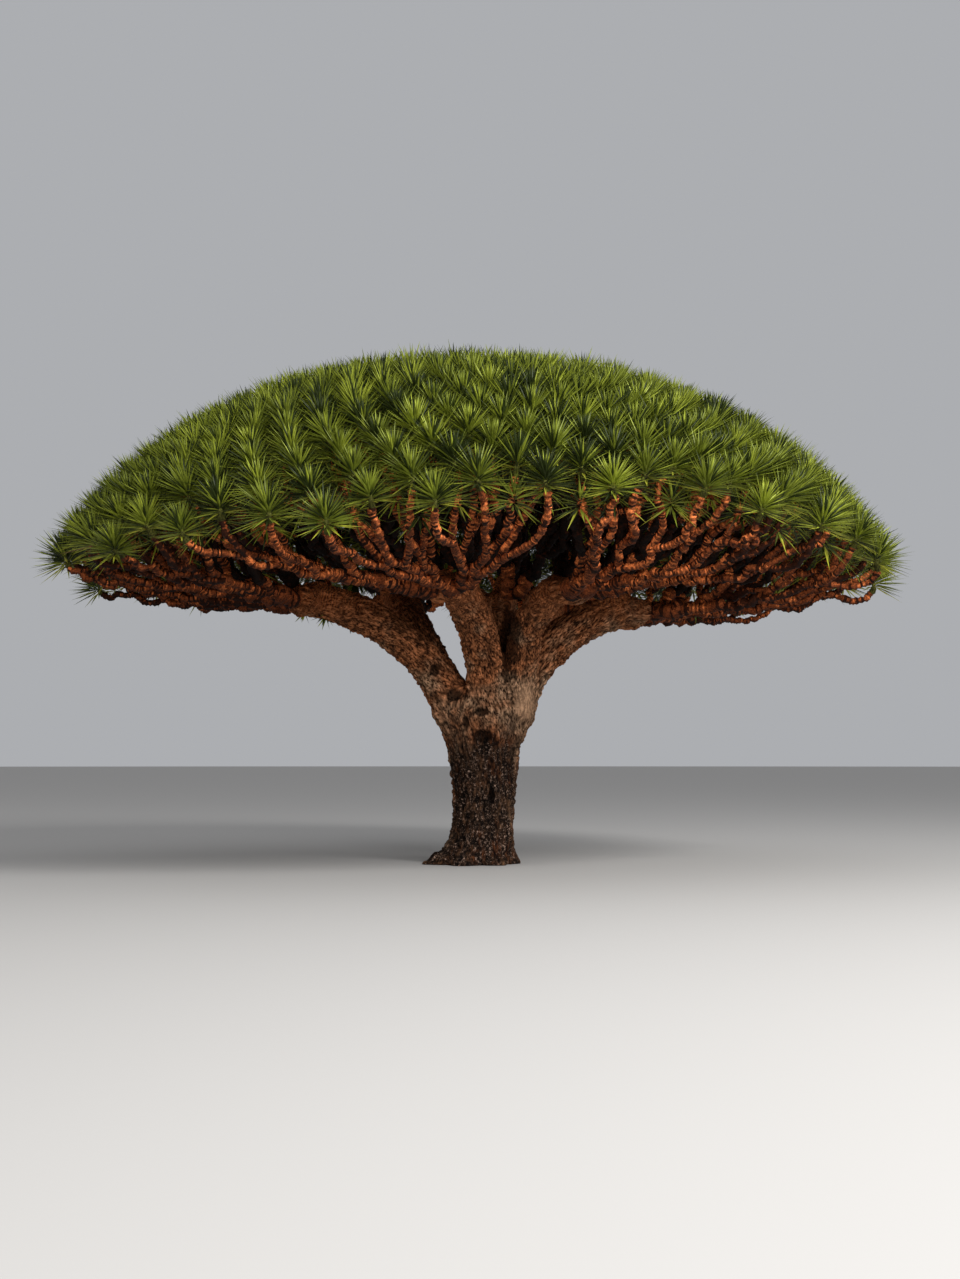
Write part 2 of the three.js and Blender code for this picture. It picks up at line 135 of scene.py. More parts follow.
class CrownSettings(bpy.types.PropertyGroup):
    """Sizes and colours of the twigs' ends and the leaves."""

    shoots: IntProperty(
        name="Shoots", description="Shoots in the whole crown, each with its rosette of leaves",
        default=640, min=100, max=1200,
    )
    leaves: IntProperty(
        name="Leaves in a rosette", description="Leaves at the end of each shoot",
        default=130, min=20, max=260,
    )
    leaf_length: measure("Leaf length", "Length of a grown leaf", 0.46)
    leaf_width: measure("Leaf width", "Width of a grown leaf where it is widest", 0.037)
    deep_green: tint("Deep green", "Leaves of the darkest rosettes", (0.026, 0.038, 0.005))
    leaf_green: tint("Leaf green", "Leaves of most rosettes", (0.175, 0.208, 0.018))
    fresh_green: tint("Fresh green", "Leaves of the brightest rosettes", (0.31, 0.355, 0.032))
    old_yellow: tint("Old leaf yellow", "The lowest leaves of each rosette", (0.34, 0.34, 0.03))
    dry_brown: tint("Dry leaf brown", "The few dead leaves that still hang on", (0.16, 0.085, 0.04))


class BarkSettings(bpy.types.PropertyGroup):
    """Sizes and colours of the bark."""

    grain: measure("Mesh grain", "Width of a face of the trunk's bark", 0.026)
    ridge_depth: measure("Ridge depth", "Depth of the furrows that run along the trunk", 0.034)
    lump_depth: measure("Lump depth", "Height of the trunk's broad lumps", 0.045)
    ring_gap: measure("Ring gap", "Distance between two ribs round a limb or twig", 0.050)
    foot_brown: tint("Foot brown", "The dark lower trunk", (0.010, 0.006, 0.004))
    lichen_grey: tint("Lichen grey", "Pale specks on the lower trunk", (0.48, 0.32, 0.24))
    trunk_tan: tint("Trunk tan", "The ridges of the upper trunk", (0.80, 0.465, 0.268))
    furrow_brown: tint("Furrow brown", "The furrows of the upper trunk", (0.040, 0.020, 0.011))
    rib_orange: tint("Rib orange", "The brightest ribs round the twigs", (0.95, 0.255, 0.070))
    rib_red: tint("Rib red", "Most ribs round the twigs and limbs", (0.37, 0.090, 0.025))
    groove_brown: tint("Groove brown", "The grooves between ribs", (0.060, 0.014, 0.004))
    # Painted shade: the brown of twig bark deep inside the crown, where shade falls
    old_brown: tint("Old bark brown", "The old, dull bark deep inside the crown", (0.022, 0.008, 0.004))
    shoot_green: tint("Shoot green", "The ends of the shoots, under their leaves", (0.10, 0.10, 0.018))


class StageSettings(bpy.types.PropertyGroup):
    """Floor, light and camera."""

    floor_colour: tint("Floor", "The plain floor", (0.48, 0.465, 0.445))
    sky_colour: tint("Surroundings", "The plain light all round", (0.86, 0.88, 0.92))
    sky_strength: FloatProperty(
        name="Surroundings' strength", description="Strength of the light all round", default=0.48,
    )
    key_power: FloatProperty(
        name="Key light", description="Power of the large soft light",
        default=10000, unit="POWER",
    )
    camera_distance: measure("Camera distance", "From the tree's axis to the camera", 26.2)
    camera_height: measure("Camera height", "Above the trunk's foot", 1.6)


# Vectors
def unit(vector):
    return vector / np.linalg.norm(vector, axis=-1, keepdims=True)


def step_lengths(points):
    return np.linalg.norm(np.diff(points, axis=0), axis=1)


def smooth_step(value, low, high):
    share = np.clip((value - low) / (high - low), 0, 1)
    return share * share * (3 - 2 * share)


def value_noise(points, seed):
    """Smooth noise from -1 to 1 with one bump in each cell of a unit lattice."""
    cell = np.floor(points).astype(np.int64)
    inside = points - cell
    ease = inside * inside * (3 - 2 * inside)
    total = np.zeros(len(points))
    for corner in itertools.product((0, 1), repeat=3):
        x, y, z = (cell + corner).T
        mixed = (x * 73856093) ^ (y * 19349663) ^ (z * 83492791) ^ (seed * 2654435761)
        mixed = ((mixed ^ (mixed >> 13)) * 1274126177) & 0x7FFFFFFF
        value = ((mixed >> 7) & 0xFFFF) / 32767.5 - 1
        total += value * np.prod(np.where(corner, ease, 1 - ease), axis=1)
    return total


def layered_noise(points, seed, layers):
    """Noise with finer and weaker layers on top."""
    total = sum(value_noise(points * 2**k, seed + k) / 2**k for k in range(layers))
    return total / (2 - 2 ** (1 - layers))


# The source's rule: dome, spread, spaces, forks
def crown_height(x, y):
    share = np.minimum(1, np.hypot(x, y) / CROWN_RADIUS)
    facing = np.abs(np.cos(np.arctan2(y, x) - LIFTED_WAY))
    lift = RIM_LIFT * (share * facing) ** LIFT_POWER
    return RIM_HEIGHT + lift + CROWN_RISE * (1 - share**SHOULDER_POWER) ** EDGE_POWER


def crown_normal(point):
    distance = max(math.hypot(point[0], point[1]), 1e-9)
    outward = np.array([point[0], point[1], 0]) / distance
    inside = max(0, min(distance, CROWN_RADIUS - 4 * SLOPE_STEP) - SLOPE_STEP)
    before = crown_height(*(inside * outward[:2]))
    after = crown_height(*((inside + 2 * SLOPE_STEP) * outward[:2]))
    return unit(UP - (after - before) / (2 * SLOPE_STEP) * outward)


def limb_radius(shoots):
    return SHOOT_RADIUS * shoots ** (1 / PIPE_POWER)


def spread(count, reach, phase):
    k = np.arange(count)
    distance = reach * ((k + 0.5) / count) ** SPREAD_POWER
    angle = k * GOLDEN_ANGLE + phase
    x, y = distance * np.cos(angle), distance * np.sin(angle)
    return np.column_stack([x, y, crown_height(x, y)])


def kept_inside(point, own, centres, margin):
    """The point, drawn towards its own centre in plan until it is inside its space."""
    others = np.array([centre[:2] for centre in centres if centre is not own])
    away = others - own[:2]
    gaps = np.linalg.norm(away, axis=1)
    place = point[:2].copy()
    while np.any((place - own[:2]) @ away.T / gaps - gaps / 2 > -margin):
        place += PULL * (own[:2] - place)
    return np.array([place[0], place[1], crown_height(*place)])


def fork_point(start, shoots):
    share = 1 / (1 + math.log2(len(shoots)))
    way = shoots.mean(axis=0) - start
    outward = math.hypot(way[0], way[1])
    late = outward / (outward + abs(way[2]))
    fork = start + share * way
    fork[2] = start[2] + way[2] * share ** (1 + LATE_RISE * late**2)
    return fork


def halved(shoots):
    offset = shoots[:, :2] - shoots[:, :2].mean(axis=0)
    xx, yy, xy = (offset[:, 0] ** 2).sum(), (offset[:, 1] ** 2).sum(), offset.prod(axis=1).sum()
    angle = math.atan2(2 * xy, xx - yy) / 2
    place = shoots[:, 0] * math.cos(angle) + shoots[:, 1] * math.sin(angle)
    order = np.argsort(place, kind="stable")
    half = math.ceil(len(order) / 2)
    return shoots[order[:half]], shoots[order[half:]]


# Curves
def sweep(start, out, end, along):
    handle = CURVE_HANDLE * np.linalg.norm(end - start)
    return np.array([start, start + handle * unit(out), end - handle * unit(along), end])


def curve_points(curve, step=POINT_GAP):
    """Points at even distances along a cubic curve."""
    t = np.linspace(0, 1, FINE_POINTS)[:, None]
    dense = (
        (1 - t) ** 3 * curve[0]
        + 3 * (1 - t) ** 2 * t * curve[1]
        + 3 * (1 - t) * t**2 * curve[2]
        + t**3 * curve[3]
    )
    lengths = np.concatenate([[0], np.cumsum(step_lengths(dense))])
    count = max(4, round(lengths[-1] / step) + 1)
    even = np.linspace(0, lengths[-1], count)
    return np.column_stack([np.interp(even, lengths, dense[:, i]) for i in range(3)])


def path_frames(points):
    """Tangents and two square directions at each point of a path that bends in about one plane."""
    tangents = unit(np.gradient(points, axis=0))
    bend = np.cross(tangents[0], tangents[-1])
    if np.linalg.norm(bend) < STRAIGHT:
        bend = np.cross(tangents[0], np.eye(3)[np.argmin(np.abs(tangents[0]))])
    side = unit(np.cross(unit(bend), tangents))
    return tangents, side, np.cross(tangents, side)


def tube(points, radii, sides, roughness=0, random=None):
    """Vertices and triangles of a closed tube along a path, and each triangle's patch."""
    _, side, front = path_frames(points)
    angle = np.arange(sides) / sides * FULL_TURN
    ring = np.cos(angle)[:, None] * side[:, None] + np.sin(angle)[:, None] * front[:, None]
    reach = np.repeat(radii[:, None], sides, axis=1)
    if random:
        reach *= 1 + roughness * random.standard_normal(reach.shape)
    walls = (points[:, None] + ring * reach[..., None]).reshape(-1, 3)
    vertices = np.vstack([walls, points[:1], points[-1:]])
    around = np.arange(sides)
    following = (around + 1) % sides
    base = (np.arange(len(points) - 1) * sides)[:, None]
    lower, lower_next = base + around, base + following
    upper, upper_next = lower + sides, lower_next + sides
    first = np.stack([lower, lower_next, upper_next], axis=-1).reshape(-1, 3)
    second = np.stack([lower, upper_next, upper], axis=-1).reshape(-1, 3)
    bottom = np.column_stack([following, around, np.full(sides, len(walls))])
    last = (len(points) - 1) * sides
    top = np.column_stack([last + around, last + following, np.full(sides, len(walls) + 1)])
    patches = np.arange(last)
    patches = np.concatenate([patches, patches, around, patches[-sides:]])
    return vertices, np.vstack([first, second, bottom, top]), patches


# Layout
class Bough:
    """A main bough's curve, and the masses that it carries."""

    def __init__(self, name, places):
        start, out, tip, along = np.array(places, float)
        self.name = name
        self.tip = tip
        self.along = unit(along)
        self.curve = sweep(start, out, self.tip, self.along)
        self.masses = []

    def radius(self):
        return limb_radius(sum(mass.sprays for mass in self.masses) * SHOOTS / SPRAYS)


class Mass:
    """One mass of foliage: the shoots in its space, and how its limb leaves its bough's tip."""

    def __init__(self, number, sprays, bough, shoots):
        self.number = number
        self.nodes = [f"limb_{number:02d}", f"foliage_{number:02d}"]
        self.sprays = len(sprays)
        self.shoots = shoots
        self.start = bough.tip - LIMB_SUNK * bough.along
        self.leaving = unit(unit(fork_point(self.start, shoots) - self.start) + bough.along)


def carrier_of(centre, boughs):
    """The middle bough for a mass over it, and for others the bough in their direction."""
    if math.hypot(centre[0], centre[1]) < MIDDLE_REACH:
        return boughs[-1]

    def turn_from(bough):
        turn = math.atan2(bough.tip[1], bough.tip[0]) - math.atan2(centre[1], centre[0])
        return abs(math.atan2(math.sin(turn), math.cos(turn)))

    return min(boughs[:-1], key=turn_from)


def shared_out(count, margin, phase, centres):
    """Points spread over the dome, each in the list of the nearest mass."""
    lists = [[] for _ in centres]
    for point in spread(count, CROWN_RADIUS, phase):
        distances = [math.hypot(*(point[:2] - centre[:2])) for centre in centres]
        nearest = int(np.argmin(distances))
        lists[nearest].append(kept_inside(point, centres[nearest], centres, margin))
    return [np.array(points) for points in lists]


def laid_out():
    """The boughs, each with the masses that it carries."""
    boughs = [Bough(name, places) for name, places in MAIN_BOUGHS.items()]
    centres = list(spread(MASSES, MASS_REACH, MASS_PHASE))
    sprays = shared_out(SPRAYS, SPRAY_MARGIN, SPRAY_PHASE, centres)
    count = bpy.context.scene.dragon_tree_crown.shoots
    shoots = shared_out(count, SHOOT_MARGIN, SPRAY_PHASE, centres)
    for k, centre in enumerate(centres):
        bough = carrier_of(centre, boughs)
        bough.masses.append(Mass(k + 1, sprays[k], bough, shoots[k]))
    return boughs


# Twigs: how one leaves its fork and ends, how far it strays, and how stout it is
LOW_START = 0.6
LOWEST_WAY = -0.08
FOLLOW_PARENT = 0.2
STEEP_END = 0.95
STEEP_TIP = 2
SAG = 0.035
CROOKED = 0.045
WIGGLE = 0.017
WIGGLE_LENGTH = 0.26
TWIG_END = 0.94
SLENDER = 0.72
SLENDER_TIP = 0.85
STOUT_FORKS = (3, 5.3)
SMOOTH_LEVELS = 1
SHOOT_LENGTH = 0.15
TIP_TAPER = 0.35

# Swellings along a twig: height as a share of its radius, and length
DRAWN_IN, DRAWN_LENGTH = 0.10, 0.10
SWOLLEN, SWOLLEN_LENGTH = 0.12, 0.11
WAVE, WAVE_LENGTH = 0.10, 0.19
RIB_HEIGHT = 0.0075
TALLEST_RIB = 0.13
RIB_SHARES = (0.3, 1.5)

# Rings that close a limb: place past its end and radius, both in the limb's radii
START_RING = (0.5, 0.7)
END_RINGS = ((0.45, 0.82), (0.75, 0.45))


class Twig:
    """A twig's middle line, its radius, and how many forks it is from its bough."""

    def __init__(self, points, count, level):
        share = SHOOTS / bpy.context.scene.dragon_tree_crown.shoots
        stout = SLENDER + (1 - SLENDER) * smooth_step(math.log2(count), *STOUT_FORKS)
        self.points = points
        self.level = level
        self.is_tip = count == 1
        self.radius = limb_radius(count * share) * max(stout, SLENDER_TIP if self.is_tip else 0)


def crooked(points, random):
    """Bends a path a little out of true, with its ends held."""
    share = np.linspace(0, 1, len(points))[:, None]
    length = step_lengths(points).sum()
    bend = CROOKED * np.linalg.norm(points[-1] - points[0])
    once, twice, often = random.normal(size=(3, 3))
    held = np.sin(math.pi * share)
    waves = np.sin(FULL_TURN * share * length / WIGGLE_LENGTH + random.uniform(0, FULL_TURN))
    offset = bend * (held * once + np.sin(FULL_TURN * share) * twice)
    offset = offset + WIGGLE * held * waves * often
    offset[:, 2] = np.maximum(offset[:, 2], -SAG)
    return points + offset


def grow(start, leaving, shoots, level, random, twigs):
    """The source's rule, down to single shoots: a twig leaves low, ends steep and forks in two."""
    end = fork_point(start, shoots)
    chord = unit(end - start)
    is_tip = len(shoots) == 1
    arriving = unit(crown_normal(end) + STEEP_TIP * UP if is_tip else chord + STEEP_END * UP)
    step = bpy.context.scene.dragon_tree_bark.ring_gap / 2
    curve = sweep(start, leaving, end, arriving)
    curve[1:3, 2] = np.maximum(curve[1:3, 2], start[2] - SAG)
    points = crooked(curve_points(curve, step), random)
    twigs.append(Twig(points, len(shoots), level))
    if is_tip:
        return
    for half in halved(shoots):
        way = unit(fork_point(end, half) - end)
        leaves_by = unit(way + FOLLOW_PARENT * arriving - LOW_START * UP)
        leaves_by[2] = max(leaves_by[2], LOWEST_WAY)
        grow(end, leaves_by, half, level + 1, random, twigs)


def grown(mass):
    twigs = []
    grow(mass.start, mass.leaving, mass.shoots, 0, np.random.default_rng(mass.number), twigs)
    return twigs


def ringed(points, radius, is_tip, random):
    """Radii along a twig: thinning, ribbed, drawn in at its start and swollen at its fork."""
    count = len(points)
    share = np.linspace(0, 1, count)
    length = step_lengths(points).sum()
    thin = 1 + (TWIG_END - 1) * share
    if is_tip:
        thin -= TIP_TAPER * smooth_step((1 - share) * length, SHOOT_LENGTH, 0)
    drawn_in = DRAWN_IN * np.exp(-((share * length / DRAWN_LENGTH) ** 2))
    swollen = SWOLLEN * np.exp(-(((1 - share) * length / SWOLLEN_LENGTH) ** 2))
    wave = WAVE * np.sin(share * length / WAVE_LENGTH * FULL_TURN + random.uniform(0, FULL_TURN))
    rib = min(TALLEST_RIB, RIB_HEIGHT / radius) * (-1.0) ** np.arange(count)
    rib = rib * random.uniform(*RIB_SHARES, count)
    return radius * (thin - drawn_in + swollen + wave + rib)


def rounded_ends(points, radii):
    """Adds a sunk start and a rounded end, so that limbs meet as full round joints."""
    out = unit(points[1] - points[0])
    along = unit(points[-1] - points[-2])
    sunk, narrowed = START_RING
    before = [points[0] - sunk * radii[0] * out]
    after = [points[-1] + past * radii[-1] * along for past, _ in END_RINGS]
    closing = [share * radii[-1] for _, share in END_RINGS]
    radii = np.concatenate([[narrowed * radii[0]], radii, closing])
    return np.vstack([before, points, after]), radii


class MeshParts:
    """Vertices, triangles and material numbers of many small parts, joined at the end."""

    def __init__(self):
        self.vertices = []
        self.triangles = []
        self.slots = []
        self.count = 0

    def add(self, vertices, triangles, slots):
        self.vertices.append(vertices)
        self.triangles.append(triangles + self.count)
        self.slots.append(slots)
        self.count += len(vertices)

    def made(self, name, materials, smooth):
        """The joined mesh as a piece in the scene."""
        vertices, triangles = np.vstack(self.vertices), np.vstack(self.triangles)
        mesh = bpy.data.meshes.new(name)
        mesh.vertices.add(len(vertices))
        mesh.vertices.foreach_set("co", vertices.astype(np.float32).ravel())
        mesh.loops.add(3 * len(triangles))
        mesh.loops.foreach_set("vertex_index", triangles.astype(np.int32).ravel())
        mesh.polygons.add(len(triangles))
        starts = np.arange(0, 3 * len(triangles), 3, dtype=np.int32)
        mesh.polygons.foreach_set("loop_start", starts)
        mesh.update(calc_edges=True)
        mesh.polygons.foreach_set("material_index", np.concatenate(self.slots).astype(np.int32))
        mesh.polygons.foreach_set("use_smooth", np.full(len(triangles), smooth))
        for material in materials:
            mesh.materials.append(material)
        piece = bpy.data.objects.new(name, mesh)
        bpy.context.scene.collection.objects.link(piece)
        return piece


def dressed(piece, nodes):
    """Hides the imported parts that the piece stands in for, and says what it moves with."""
    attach(piece, BODY)
    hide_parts(*nodes)


# The fourth bark is painted shade, for twigs deep inside the crown
BARKS = ("rib_orange", "rib_red", "groove_brown", "old_brown", "shoot_green")
RIB_ORANGE, RIB_RED, GROOVE_BROWN, PAINTED_SHADE_BROWN, SHOOT_GREEN = range(len(BARKS))

# Where twig bark gets painted shade: deep inside the crown, by height and by reach, and at the crown's
# left and right sides
PAINTED_SHADE_HEIGHT = (4.2, 4.5)
PAINTED_SHADE_REACH = (0.85, 0.70)
PAINTED_SHADE_SIDES = (2.4, 4.4)

# Chances of each colour, and how much rarer orange is at the sides: painted shade at the crown's left
# and right sides
SIDE_SHADE_CHANCE = 0.45
SIDE_SHADE_DIMMING = 0.8
ORANGE_CHANCE = 0.95
ORANGE_RADIUS = (0.13, 0.055)
GROOVE_CHANCE = 0.35
FLECKED = 0.2
ORANGE_FLECKS = 0.6
GROOVE_FLECKS = 0.3
SHOOT_BANDS = 7

# Sides of a twig's tube up to each radius
TWIG_SIDES = ((0.08, 6), (0.12, 8), (math.inf, 11))
TWIG_ROUGHNESS = 0.065


def rib_slots(points, sides, twig, random):
    """A plain bark colour for each patch of a twig, with painted shade deep in the crown and at the
    crown's left and right sides.
    """
    count = len(points) - 1
    # Painted shade: orange is rarer at the crown's left and right sides
    side = smooth_step(abs(points[:, 0].mean()), *PAINTED_SHADE_SIDES)
    orange = ORANGE_CHANCE * smooth_step(twig.radius, *ORANGE_RADIUS) * (1 - SIDE_SHADE_DIMMING * side)
    chance = random.random((count, 1))
    even = (np.arange(count) % 2 == 0)[:, None]
    flecked = random.random((count, sides)) < FLECKED
    reach = np.hypot(points[:, 0], points[:, 1]).max() / CROWN_RADIUS
    painted_shade = smooth_step(points[:, 2].mean(), *PAINTED_SHADE_HEIGHT) * smooth_step(reach, *PAINTED_SHADE_REACH)
    shade_draw = random.random()
    # Painted shade: deep in the crown the bark takes the darkest browns
    if shade_draw < painted_shade:
        colour = np.where(flecked, GROOVE_BROWN, PAINTED_SHADE_BROWN)
    # Painted shade: at the crown's left and right sides the bark takes darker browns
    elif shade_draw < SIDE_SHADE_CHANCE * side:
        colour = np.where(flecked, RIB_RED, GROOVE_BROWN)
    else:
        colour = np.where(even & (chance < orange), RIB_ORANGE, RIB_RED)
        colour = np.where(~even & (chance < GROOVE_CHANCE), GROOVE_BROWN, colour)
        bright = ORANGE_FLECKS * orange
        shares = [bright, 1 - GROOVE_FLECKS - bright, GROOVE_FLECKS]
        flecks = random.choice([RIB_ORANGE, RIB_RED, GROOVE_BROWN], (count, sides), p=shares)
        colour = np.where(flecked, flecks, colour)
    if twig.is_tip:
        colour[-SHOOT_BANDS:] = SHOOT_GREEN
    return colour.ravel()


def add_twig(parts, twig, random):
    radii = ringed(twig.points, twig.radius, twig.is_tip, random)
    points, radii = rounded_ends(twig.points, radii)
    sides = next(sides for radius, sides in TWIG_SIDES if twig.radius < radius)
    vertices, triangles, patches = tube(points, radii, sides, TWIG_ROUGHNESS, random)
    parts.add(vertices, triangles, rib_slots(points, sides, twig, random)[patches])


# Leaves: how a rosette's leaves lean and grow from its heart, with sizes in metres
LEAF_SPAN = math.radians(97)
SPAN_POWER = 0.62
LEAN_NOISE = 0.05
SHOOT_TIP = 0.10
NARROW_BASE = 0.012
WIDE_BASE = 0.05
WIDEST_AT = 0.32
FOLD = 0.30
UPRIGHT = 1.8
RIM_LEAN = 0.15
RIM = (0.9, 1)
AXIS_NOISE = 0.10
ROSETTE_SIZES = (0.86, 1.08)
LEAF_SIZES = (0.84, 1.08)
YOUNGEST = 0.74
GROWN_AGE = 0.2
OFF_AXIS = [0.31, 0.95, 0.02]

# Colours of the leaves: three greens, dealt by rosette and by leaf, and old and dry ones
SKINS = ("deep_green", "leaf_green", "fresh_green", "old_yellow", "dry_brown")
LEAF_COLOURS = 3
OLD_LEAF, DRY_LEAF = LEAF_COLOURS, LEAF_COLOURS + 1
GREENS = [0.22, 0.54, 0.24]
OWN_GREEN = 0.55
OWN_GREENS = [0.54, 0.26, 0.20]
OLD_AGE, OLD_CHANCE = 0.93, 0.8
DRY_AGE, DRY_CHANCE = 0.95, 0.07

# Inner rosettes, which crowd under the crown's own: how far in they reach, their depth and leaves
INNER_SHARE = 0.95
INNER_DEPTH = 0.36
INNER_LEAVES = 60
INNER_SPAN = math.radians(125)
# Painted shade: inner rosettes and tufts mostly take the deep green, as the shade under the crown
SHADED_INNER_GREENS = [0.6, 0.35, 0.05]

# Small tufts under the boughs, in the darker inner greens of painted shade, the last two further back
# to darken a gap: wanted place, leaves and their length
TUFTS = [
    ([-2.41, -0.15, 3.65], 22, 0.26),
    ([-2.62, 0.10, 3.70], 14, 0.22),
    ([4.20, 0.00, 3.80], 9, 0.17),
    ([3.56, 0.10, 3.75], 9, 0.17),
    ([2.60, 3.90, 4.00], 12, 0.22),
    ([-1.69, 0.30, 4.55], 10, 0.20),
    ([-1.97, 2.01, 4.67], 170, 0.34),
    ([-1.84, 5.05, 4.90], 90, 0.36),
]
TUFT_SUNK = 0.85
TUFT_LEAN = np.array([0.35, -0.25, -1.0])


def leaf_blades(base, way, side, up, length, width):
    """Leaves of two faces each, folded along the middle: base, widest place on both sides, tip."""
    half = side * (width / 2)
    widest = base + way * (WIDEST_AT * length) + up * (FOLD * width)
    corners = np.stack([base, widest - half, widest + half, base + way * length], axis=-2)
    starts = (np.arange(corners.size // 12) * 4)[:, None, None]
    return corners.reshape(-1, 3), (starts + np.array([[0, 2, 3], [0, 3, 1]])).reshape(-1, 3)


def rosettes(hearts, axes, leaves, leaf_length, span, greens, random):
    """Leaves of many rosettes at once: vertices, triangles and material numbers."""
    settings = bpy.context.scene.dragon_tree_crown
    count = len(hearts)
    age = (np.arange(leaves) + 0.5) / leaves
    lean = span * age**SPAN_POWER + random.normal(0, LEAN_NOISE, (count, leaves))
    turn = np.arange(leaves) * GOLDEN_ANGLE + random.uniform(0, FULL_TURN, (count, 1))
    across = unit(np.cross(axes, OFF_AXIS))
    other = np.cross(axes, across)
    outward = np.cos(turn)[..., None] * across[:, None] + np.sin(turn)[..., None] * other[:, None]
    axis = axes[:, None]
    way = np.cos(lean)[..., None] * axis + np.sin(lean)[..., None] * outward
    size = random.uniform(*ROSETTE_SIZES, (count, 1)) * random.uniform(*LEAF_SIZES, (count, leaves))
    young = YOUNGEST + (1 - YOUNGEST) * smooth_step(age, 0, GROWN_AGE)
    length = (leaf_length * size * young)[..., None]
    clasp = NARROW_BASE + (WIDE_BASE - NARROW_BASE) * age
    base = hearts[:, None] - axis * (SHOOT_LENGTH * age)[:, None] + outward * clasp[:, None]
    side = unit(np.cross(way, axis + 1e-6))
    up = unit(np.cross(side, way))
    vertices, triangles = leaf_blades(base, way, side, up, length, settings.leaf_width)
    colour = np.repeat(random.choice(LEAF_COLOURS, (count, 1), p=greens), leaves, axis=1)
    own = random.choice(LEAF_COLOURS, (count, leaves), p=OWN_GREENS)
    colour = np.where(random.random((count, leaves)) < OWN_GREEN, own, colour)
    old = (age > OLD_AGE) & (random.random((count, leaves)) < OLD_CHANCE)
    colour = np.where(old, OLD_LEAF, colour)
    dry = (random.random((count, 1)) < DRY_CHANCE) & (age > DRY_AGE)
    colour = np.where(dry, DRY_LEAF, colour)
    return vertices, triangles, np.repeat(colour.ravel(), 2)


def add_tufts(parts, boughs, random):
    """Hangs each small tuft from the bough or twig that runs nearest to its wanted place."""
    bars = bark_bars(boughs)
    for bough in boughs:
        for mass in bough.masses:
            bars += [(twig.points, np.full(len(twig.points), twig.radius)) for twig in grown(mass)]
    for wanted, leaves, length in TUFTS:
        gaps = [np.linalg.norm(points - wanted, axis=1) - radii for points, radii in bars]
        points, radii = bars[int(np.argmin([gap.min() for gap in gaps]))]
        place = (np.linalg.norm(points - wanted, axis=1) - radii).argmin()
        heart = points[place] - TUFT_SUNK * radii[place] * UP
        axis = unit(TUFT_LEAN * [np.sign(heart[0]), 1, 1])
        # Painted shade: tufts take the darker inner greens
        parts.add(*rosettes(heart[None], axis[None], leaves, length, LEAF_SPAN, SHADED_INNER_GREENS, random))


# Bark of the trunk and boughs
HEAD_DRAWN_IN = 0.38
HEAD_HEIGHTS = (2.3, 2.75)
BOUGH_FLARE = 0.20
FLARE_LENGTH = 0.45
LIMB_FLARE = 1.04
TRUNK_SIDES = 56
RINGS_A_STATION = 8
BOUGH_SIDES = 24
SOFTENED = 24
SOFTNESS = 0.5


def trunk_mesh():
    """A fine closed form through the trunk's stations, drawn in under the boughs."""
    steps = len(TRUNK_STATIONS) - 1
    fine = np.linspace(0, steps, RINGS_A_STATION * steps + 1)
    whole = np.arange(steps + 1)
    z, x, half_x, half_y, ribs = (np.interp(fine, whole, row) for row in TRUNK_STATIONS.T)
    sides = TRUNK_SIDES
    angle = np.arange(sides) / sides * FULL_TURN
    rib = 1 + ribs[:, None] * np.cos(TRUNK_RIBS * angle + RIB_TWIST * fine[:, None])
    rib = rib * (1 - HEAD_DRAWN_IN * smooth_step(z, *HEAD_HEIGHTS))[:, None]
    ring_x = x[:, None] + half_x[:, None] * rib * np.cos(angle)
    ring_y = half_y[:, None] * rib * np.sin(angle)
    ring_z = np.repeat(z[:, None], sides, axis=1)
    walls = np.stack([ring_x, ring_y, ring_z], axis=-1).reshape(-1, 3)
    middle = np.column_stack([x, np.zeros_like(x), z])
    _, triangles, _ = tube(middle, np.ones(len(middle)), sides)
    return np.vstack([walls, middle[:1], middle[-1:]]), triangles


def bark_bars(boughs):
    """Middle lines and radii of all that the bark's skin covers above the trunk."""
    bars = []
    for bough in boughs:
        points = curve_points(bough.curve)
        share = np.linspace(0, 1, len(points))
        away = share * step_lengths(points).sum()
        flare = 1 + BOUGH_FLARE * np.exp(-((away / FLARE_LENGTH) ** 2))
        bars.append((points, (BOUGH_TAPER + (1 - BOUGH_TAPER) * share) * bough.radius() * flare))
        for mass in bough.masses:
            for twig in grown(mass):
                if twig.level < SMOOTH_LEVELS:
                    flare = np.linspace(LIMB_FLARE, 1, len(twig.points))
                    bars.append((twig.points, flare * twig.radius))
    return bars


def bark_core(bars):
    """Trunk and bars, each a closed form, in one mesh."""
    parts = MeshParts()
    forms = [trunk_mesh()] + [tube(*rounded_ends(*bar), BOUGH_SIDES) for bar in bars]
    for vertices, triangles, *_ in forms:
        parts.add(vertices, triangles, np.zeros(len(triangles)))
    return parts.made("bark", [], True)


def remeshed(piece, grain):
    """The piece with its forms run together and the joints between them softened."""
    remesh = piece.modifiers.new("run together", "REMESH")
    remesh.mode = "VOXEL"
    remesh.voxel_size = grain
    soften = piece.modifiers.new("soften", "SMOOTH")
    soften.factor = SOFTNESS
    soften.iterations = SOFTENED
    graph = bpy.context.evaluated_depsgraph_get()
    mesh = bpy.data.meshes.new_from_object(piece.evaluated_get(graph))
    piece.modifiers.clear()
    piece.data = mesh
    return mesh


FIBRE_TWIST = 0.35
NEAR_RADII = 1.6
CORE_SHARE = 0.3
LINE_POINTS = 40


